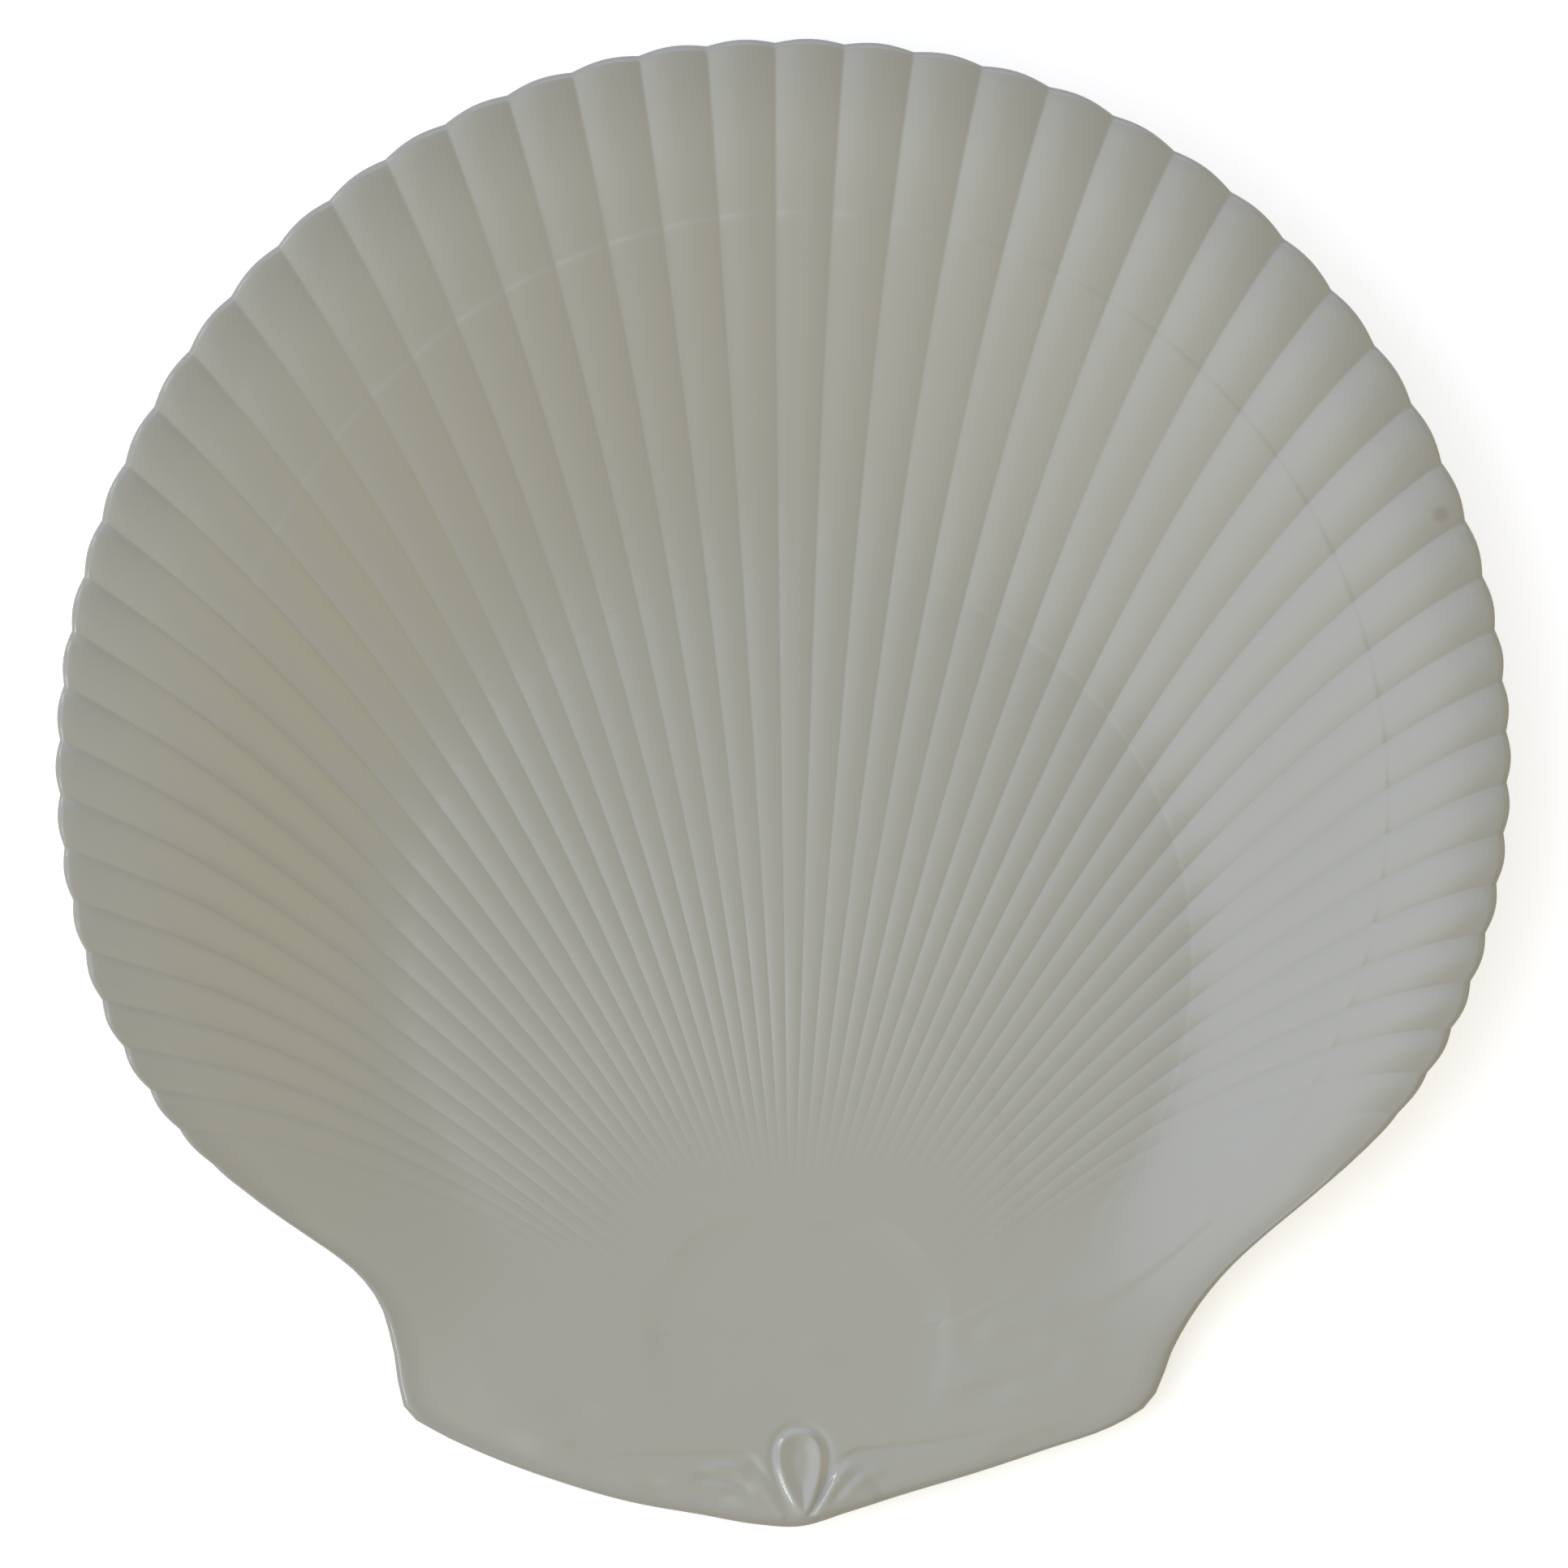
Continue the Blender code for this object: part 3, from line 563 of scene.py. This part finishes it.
def ornament(x, y):
    """Relief at the hinge in metres: the drop, its wings and the pressed lines."""
    across, up = (x - AXIS_X) / MM, (y - TIP_Y) / MM
    height = np.zeros(np.shape(x))
    near = up < ORNAMENT_TOP
    across, up = across[near], up[near]
    drop = drop_relief(across, up)
    left = wing_relief(across, up, LEFT_WING, False) * (across < 0)
    right = wing_relief(across, up, RIGHT_WING, True) * (across > 0)
    total = drop + left + right
    for rise, width, points in PRESSED_LINES:
        distance, along, _ = line_distance(across, up, smooth_line(points))
        ends = soft_step(along / LINE_END) * soft_step((1 - along) / LINE_END)
        total = total + LINE_STRENGTH * rise * ends * np.exp(-(distance / width)**2)
    height[near] = total * MM
    return height


def flute_width(x, y, flutes):
    """Width of a flute, square to its line, at each point: none past the flutes."""
    fan = np.append(np.diff(flutes) > 0, False)
    across_x, across_y = (np.gradient(part[fan], flutes[fan], axis=0) for part in (x, y))
    along_x, along_y = (np.gradient(part[fan], axis=1) for part in (x, y))
    width = np.zeros_like(x)
    width[fan] = np.abs(across_x * along_y - across_y * along_x) / np.hypot(along_x, along_y)
    return width


def relief(x, y, flute, width):
    """Height of the flutes, growth rings, hub and ornament over the dish."""
    past_arch, angle = past_umbo(x, y)
    hollow = UMBO_DEPTH * soft_step(-past_arch / UMBO_SLOPE) * fading(angle, UMBO_FROM, UMBO_TO)
    rings = (ring_layer(x, y, WELL_Y, WELL_RADIUS, WELL_STEP)
             + ring_layer(x, y, INNER_RING_Y, INNER_RING_RADIUS, INNER_STEP)
             + ring_layer(x, y, OUTER_RING_Y, OUTER_RING_RADIUS, OUTER_STEP))
    start = soft_step((past_arch - FLUTE_BARE) / FLUTE_START)
    bearing = np.degrees(np.arctan2(x - AXIS_X, y - WELL_Y))
    side = np.where(bearing < 0, LEFT_DEEPER, RIGHT_DEEPER)
    deeper = 1 + side * soft_step((np.abs(bearing) - SIDE_FROM) / (SIDE_FULL - SIDE_FROM))
    wide = np.minimum(width / FLUTE_WIDTH, FLUTE_WIDEST)
    rise = FLUTE_RISE * deeper * wide**FLUTE_POWER * start
    return (rings * ring_strength(x, y, past_arch, angle) - hollow
            + rise * crown(flute) * flute_strength(flute) + ornament(x, y))


def shell_points():
    """Points of the shell, a row for each column, and masks for the painted shade deep in the
    grooves and towards the edge.
    """
    flutes, edges, leaving = columns()
    upper = row_shares(edges, leaving)
    x, y = column_lines(edges, leaving, np.append(upper, np.ones((len(edges), 1)), axis=1))
    flute = flutes[:, None] + np.zeros_like(x)
    z = dish_height(x, y) + relief(x, y, flute, flute_width(x, y, flutes))
    x, y, z, edge_z = x[:, :-1], y[:, :-1], z[:, :-1], z[:, -1:]
    groove = ((1 - crown(flute)) * flute_strength(flute))[:, :-1]
    # Painted shade deep in the grooves, fading in towards the hub
    groove_shade = groove * soft_step(upper / GROOVE_SHADE_INNER)
    # Painted shade that darkens the glaze over the last part of the way to the edge
    edge_shade = soft_step((upper - EDGE_SHADE_FROM) / (1 - EDGE_SHADE_FROM))

    # Rim: half round from the upper face over the edge to the underside
    away = edges - HUB
    out = away / np.hypot(*away.T)[:, None]
    turns = np.linspace(0, np.pi, RIM_ROWS + 2)[1:-1]
    inward = EDGE_ROUND * (1 - np.sin(turns))
    rim_x = edges[:, :1] - out[:, :1] * inward
    rim_y = edges[:, 1:] - out[:, 1:] * inward
    rim_z = edge_z - WALL / 2 * (1 - np.cos(turns))

    share = np.linspace(1, 0, UNDER_ROWS + 1)[:-1]**UNDER_POWER
    low = share * (1 - EDGE_ROUND / np.hypot(*away.T))[:, None]
    lower = underside(*column_lines(edges, leaving, low))
    points = np.stack([np.concatenate([x, rim_x, lower[0]], axis=1),
                       np.concatenate([y, rim_y, lower[1]], axis=1),
                       np.concatenate([z, rim_z, lower[2]], axis=1)], axis=-1)
    # The rim has the painted edge shade in full, and the underside has no painted shade
    rim, below = np.ones((len(edges), RIM_ROWS)), np.zeros((len(edges), UNDER_ROWS))
    return (points, np.concatenate([groove_shade, 0 * rim, below], axis=1),
            np.concatenate([edge_shade, rim, below], axis=1))


def plan_shift():
    """What moves the middle of the outline's box to the origin, as in the part."""
    _, edges, _ = columns()
    return -(edges.min(axis=0) + edges.max(axis=0)) / 2


SHIFT = plan_shift()


def shell_mesh():
    """The shell as one closed mesh, with a fan of faces round the hub above and below."""
    points, groove_shade, edge_shade = shell_points()
    count, rows = points.shape[:2]
    hub_top = float(dish_height(*HUB)) - UMBO_DEPTH
    hub_low = underside(*HUB)
    verts = np.concatenate([[[*HUB, hub_top], [float(v) for v in hub_low]],
                            points.reshape(-1, 3)])
    verts[:, :2] += SHIFT
    here = 2 + np.arange(count) * rows
    there = np.roll(here, -1)
    faces = []
    for a, b in zip(here.tolist(), there.tolist()):
        faces.append((0, b, a))
        faces += [(a + row, b + row, b + row + 1, a + row + 1) for row in range(rows - 1)]
        faces.append((a + rows - 1, b + rows - 1, 1))
    mesh = bpy.data.meshes.new("shell")
    mesh.from_pydata(verts.tolist(), [], faces)
    # Masks of the painted shade in the grooves and at the edge, for the glaze
    for name, mask in (("groove_shade", groove_shade), ("edge_shade", edge_shade)):
        layer = mesh.attributes.new(name, "FLOAT", "POINT")
        layer.data.foreach_set("value", np.concatenate([[0, 0], mask.ravel()]).astype(np.float32))
    mesh.shade_smooth()
    mesh.update()
    return mesh


def foot_mesh():
    """Turned foot: a fillet under the wall, straight sides and a flat standing edge."""
    half = FOOT_WIDTH / 2
    root = FLOOR_TOP - WALL + FOOT_SUNK
    profile = []
    for turn in np.linspace(0, np.pi / 2, FILLET_STEPS + 1):
        profile.append((half + FOOT_FILLET * (1 - math.sin(turn)),
                        root - FOOT_FILLET * (1 - math.cos(turn))))
    for turn in np.linspace(0, np.pi / 2, BEVEL_STEPS + 1)[1:]:
        profile.append((half - FOOT_BEVEL * (1 - math.cos(turn)),
                        FOOT_BEVEL * (1 - math.sin(turn))))
    section = profile + [(-out, z) for out, z in reversed(profile)]
    verts, faces = [], []
    for step in range(FOOT_STEPS):
        turn = 2 * math.pi * step / FOOT_STEPS
        for out, z in section:
            radius = FOOT_RADIUS + out
            verts.append((AXIS_X + SHIFT[0] + radius * math.cos(turn),
                          FOOT_Y + SHIFT[1] + radius * math.sin(turn), z))
    rows = len(section)
    for step in range(FOOT_STEPS):
        a, b = step * rows, (step + 1) % FOOT_STEPS * rows
        faces += [(a + row, b + row, b + row + 1, a + row + 1) for row in range(rows - 1)]
    mesh = bpy.data.meshes.new("foot")
    mesh.from_pydata(verts, [], faces)
    mesh.shade_smooth()
    return mesh


def node(tree, kind, **values):
    """A new node with its settings."""
    made = tree.nodes.new(kind)
    for name, value in values.items():
        setattr(made, name, value)
    return made


def mix_colour(tree, factor, first, second):
    """Mixes two colours, each a value or a socket, by a socket."""
    mix = node(tree, "ShaderNodeMix", data_type="RGBA")
    tree.links.new(factor, mix.inputs[0])
    for socket, colour in ((mix.inputs[6], first), (mix.inputs[7], second)):
        if isinstance(colour, tuple):
            socket.default_value = colour
        else:
            tree.links.new(colour, socket)
    return mix.outputs[2]


def fitted(tree, value, low, high, to_low, to_high):
    """A socket's range low..high carried to another range."""
    fit = node(tree, "ShaderNodeMapRange")
    for name, number in (("From Min", low), ("From Max", high), ("To Min", to_low),
                         ("To Max", to_high)):
        fit.inputs[name].default_value = number
    tree.links.new(value, fit.inputs["Value"])
    return fit.outputs["Result"]


def mottle_group():
    """Soft cloudiness of fired clay and glaze: a broad mask, a fine one and a speck mask."""
    group = bpy.data.node_groups.new("fired_mottle", "ShaderNodeTree")
    for name in ("Broad", "Fine", "Specks"):
        group.interface.new_socket(name, in_out="OUTPUT", socket_type="NodeSocketFloat")
    out = node(group, "NodeGroupOutput")
    place = node(group, "ShaderNodeTexCoord")
    for name, scale, detail in (("Broad", 9.0, 3.0), ("Fine", 170.0, 2.0)):
        noise = node(group, "ShaderNodeTexNoise")
        noise.inputs["Scale"].default_value = scale
        noise.inputs["Detail"].default_value = detail
        group.links.new(place.outputs["Object"], noise.inputs["Vector"])
        group.links.new(noise.outputs["Fac"], out.inputs[name])
    cells = node(group, "ShaderNodeTexVoronoi")
    cells.inputs["Scale"].default_value = SPECK_SCALE
    group.links.new(place.outputs["Object"], cells.inputs["Vector"])
    near = fitted(group, cells.outputs["Distance"], *SPECK_RADIUS, 1, 0)
    rare = node(group, "ShaderNodeMath", operation="GREATER_THAN")
    rare.inputs[1].default_value = SPECK_RARITY
    group.links.new(cells.outputs["Color"], rare.inputs[0])
    both = node(group, "ShaderNodeMath", operation="MULTIPLY")
    group.links.new(near, both.inputs[0])
    group.links.new(rare.outputs["Value"], both.inputs[1])
    group.links.new(both.outputs["Value"], out.inputs["Specks"])
    return group


def add_bump(tree, height, strength, depth, shader):
    """Fine unevenness of a surface, from a mask."""
    bump = node(tree, "ShaderNodeBump")
    bump.inputs["Strength"].default_value = strength
    bump.inputs["Distance"].default_value = depth
    tree.links.new(height, bump.inputs["Height"])
    tree.links.new(bump.outputs["Normal"], shader.inputs["Normal"])


def glaze_material(mottle):
    """Off-white glossy glaze over clay, with painted shade: greyer deep in the grooves, darker
    towards the edge.
    """
    material = bpy.data.materials.new("off_white_glaze")
    material.use_nodes = True
    tree = material.node_tree
    shader = tree.nodes["Principled BSDF"]
    shader.inputs["IOR"].default_value = 1.5
    cloud = node(tree, "ShaderNodeGroup", node_tree=mottle)
    clouded = fitted(tree, cloud.outputs["Broad"], 0.3, 0.7, 0, 1)
    body = mix_colour(tree, clouded, GLAZE_CLOUDED, GLAZE_CLEAR)
    # Painted shade deep in the grooves
    groove_shade = node(tree, "ShaderNodeAttribute", attribute_name="groove_shade")
    groove_shaded = fitted(tree, groove_shade.outputs["Fac"], GROOVE_SHADE_FROM, 1, 0, GROOVE_SHADE_STRENGTH)
    body = mix_colour(tree, groove_shaded, body, GLAZE_GROOVE_SHADE)
    # Painted shade that darkens the glaze towards the edge and over the rim
    edge_shade = node(tree, "ShaderNodeAttribute", attribute_name="edge_shade")
    edge_shaded = fitted(tree, edge_shade.outputs["Fac"], 0, 1, 0, EDGE_SHADE_STRENGTH)
    body = mix_colour(tree, edge_shaded, body, GLAZE_EDGE_SHADE)
    specks = fitted(tree, cloud.outputs["Specks"], 0, 1, 0, SPECK_STRENGTH)
    body = mix_colour(tree, specks, body, SPECK_BROWN)
    place = node(tree, "ShaderNodeTexCoord")
    away = node(tree, "ShaderNodeVectorMath", operation="DISTANCE")
    tree.links.new(place.outputs["Object"], away.inputs[0])
    x, y = STAIN
    height = float(dish_height(x - SHIFT[0], y - SHIFT[1]))
    away.inputs[1].default_value = (x, y, height + FLUTE_RISE)
    stain = fitted(tree, away.outputs["Value"], STAIN_CORE, STAIN_REACH, STAIN_STRENGTH, 0)
    stain.node.interpolation_type = "SMOOTHSTEP"
    tree.links.new(mix_colour(tree, stain, body, STAIN_BROWN), shader.inputs["Base Color"])
    rough = fitted(tree, cloud.outputs["Fine"], 0.3, 0.7, *GLAZE_ROUGHNESS)
    tree.links.new(rough, shader.inputs["Roughness"])
    add_bump(tree, cloud.outputs["Fine"], PEEL_STRENGTH, PEEL_DEPTH, shader)
    return material


def foot_material(mottle):
    """The foot is glazed but for its standing edge, which is bare fired clay."""
    material = bpy.data.materials.new("foot_ring_clay")
    material.use_nodes = True
    tree = material.node_tree
    shader = tree.nodes["Principled BSDF"]
    cloud = node(tree, "ShaderNodeGroup", node_tree=mottle)
    place = node(tree, "ShaderNodeTexCoord")
    split = node(tree, "ShaderNodeSeparateXYZ")
    tree.links.new(place.outputs["Object"], split.inputs["Vector"])
    bare = fitted(tree, split.outputs["Z"], *FOOT_BARE, 1, 0)
    grain = fitted(tree, cloud.outputs["Fine"], 0.35, 0.65, 0, 1)
    clay = mix_colour(tree, grain, CLAY_DARK, CLAY_PALE)
    glazed = mix_colour(tree, cloud.outputs["Broad"], FOOT_GLAZE_CLOUDED, FOOT_GLAZE_CLEAR)
    tree.links.new(mix_colour(tree, bare, glazed, clay), shader.inputs["Base Color"])
    rough = fitted(tree, bare, 0, 1, *FOOT_ROUGHNESS)
    tree.links.new(rough, shader.inputs["Roughness"])
    add_bump(tree, cloud.outputs["Fine"], GRIT_STRENGTH, GRIT_DEPTH, shader)
    return material


def add_piece(name, mesh, material):
    """A piece of the platter, which stands in for the CAD solid and takes its glaze."""
    piece = bpy.data.objects.new(name, mesh)
    mesh.materials.append(material)
    bpy.context.scene.collection.objects.link(piece)
    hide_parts("platter")
    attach(piece, "root")


def add_floor():
    """White table top that keeps the platter's soft shadow.

    From below it is clear, and it lets the room's light through to the underside.
    """
    mesh = bpy.data.meshes.new("table_top")
    around = ((-1, -1), (1, -1), (1, 1), (-1, 1))
    corners = [(TABLE_REACH * x, TABLE_REACH * y, 0) for x, y in around]
    mesh.from_pydata(corners, [], [(0, 1, 2, 3)])
    floor = bpy.data.objects.new("table_top", mesh)
    bpy.context.scene.collection.objects.link(floor)
    material = bpy.data.materials.new("white_table")
    material.use_nodes = True
    tree = material.node_tree
    shader = tree.nodes["Principled BSDF"]
    shader.inputs["Base Color"].default_value = (TABLE_WHITE, TABLE_WHITE, TABLE_WHITE, 1)
    shader.inputs["Roughness"].default_value = 0.9
    shader.inputs["Specular IOR Level"].default_value = 0.0
    shader.inputs["Emission Color"].default_value = (1, 1, 1, 1)
    path = node(tree, "ShaderNodeLightPath")
    tree.links.new(fitted(tree, path.outputs["Is Camera Ray"], 0, 1, 0, 0.5),
                   shader.inputs["Emission Strength"])
    side = node(tree, "ShaderNodeNewGeometry")
    passes = node(tree, "ShaderNodeMath", operation="MAXIMUM")
    tree.links.new(side.outputs["Backfacing"], passes.inputs[0])
    tree.links.new(path.outputs["Is Diffuse Ray"], passes.inputs[1])
    clear = node(tree, "ShaderNodeBsdfTransparent")
    which = node(tree, "ShaderNodeMixShader")
    tree.links.new(passes.outputs["Value"], which.inputs["Fac"])
    tree.links.new(shader.outputs["BSDF"], which.inputs[1])
    tree.links.new(clear.outputs["BSDF"], which.inputs[2])
    tree.links.new(which.outputs["Shader"], tree.nodes["Material Output"].inputs["Surface"])
    mesh.materials.append(material)


def way(azimuth, elevation):
    """Direction as a vector. Azimuth is from +X, anticlockwise."""
    turn, rise = math.radians(azimuth), math.radians(elevation)
    return (math.cos(rise) * math.cos(turn), math.cos(rise) * math.sin(turn), math.sin(rise))


def add_world():
    """The room's light as the object gets it, and plain white as the camera sees it."""
    world = bpy.data.worlds.new("studio")
    world.use_nodes = True
    tree = world.node_tree
    place = node(tree, "ShaderNodeTexCoord").outputs["Generated"]
    faded = math.cos(math.radians(PATCH_REACH))
    total = None
    for azimuth, elevation, colour in PATCHES:
        facing = node(tree, "ShaderNodeVectorMath", operation="DOT_PRODUCT")
        facing.inputs[1].default_value = way(azimuth, elevation)
        tree.links.new(place, facing.inputs[0])
        glow = fitted(tree, facing.outputs["Value"], faded, 1, 0, 1)
        glow.node.interpolation_type = "SMOOTHSTEP"
        add = node(tree, "ShaderNodeVectorMath", operation="MULTIPLY_ADD")
        tree.links.new(glow, add.inputs[0])
        add.inputs[1].default_value = colour
        if total is None:
            add.inputs[2].default_value = ROOM
        else:
            tree.links.new(total, add.inputs[2])
        total = add.outputs["Vector"]
    light = node(tree, "ShaderNodeBackground")
    tree.links.new(total, light.inputs["Color"])
    seen = tree.nodes["Background"]
    seen.inputs["Color"].default_value = (1, 1, 1, 1)
    path = node(tree, "ShaderNodeLightPath")
    which = node(tree, "ShaderNodeMixShader")
    tree.links.new(path.outputs["Is Camera Ray"], which.inputs["Fac"])
    tree.links.new(light.outputs["Background"], which.inputs[1])
    tree.links.new(seen.outputs["Background"], which.inputs[2])
    tree.links.new(which.outputs["Shader"], tree.nodes["World Output"].inputs["Surface"])
    bpy.context.scene.world = world


def add_lamp(name, azimuth, elevation, size, power):
    """Area lamp that faces the platter."""
    lamp = bpy.data.lights.new(name, "AREA")
    lamp.shape = "RECTANGLE"
    lamp.size, lamp.size_y = size
    lamp.energy = power
    lamp.color = LAMP_COLOUR
    holder = bpy.data.objects.new(name, lamp)
    holder.location = [LAMP_DISTANCE * part for part in way(azimuth, elevation)]
    holder.rotation_euler = (math.radians(90 - elevation), 0, math.radians(azimuth + 90))
    bpy.context.scene.collection.objects.link(holder)


def add_camera():
    """Straight down from far enough that the picture is nearly a plan."""
    view = bpy.data.cameras.new("camera")
    view.sensor_width = SENSOR_WIDTH
    view.lens = SENSOR_WIDTH * (CAMERA_HEIGHT - SCALE_LEVEL) / PHOTO_WIDTH
    holder = bpy.data.objects.new("camera", view)
    holder.location = (*CAMERA_AT, CAMERA_HEIGHT)
    bpy.context.scene.collection.objects.link(holder)
    bpy.context.scene.camera = holder


mottle = mottle_group()
add_piece("shell", shell_mesh(), glaze_material(mottle))
add_piece("foot_ring", foot_mesh(), foot_material(mottle))
add_floor()
add_world()
for lamp in LAMPS:
    add_lamp(*lamp)
add_camera()
bpy.context.scene.view_settings.view_transform = "Standard"
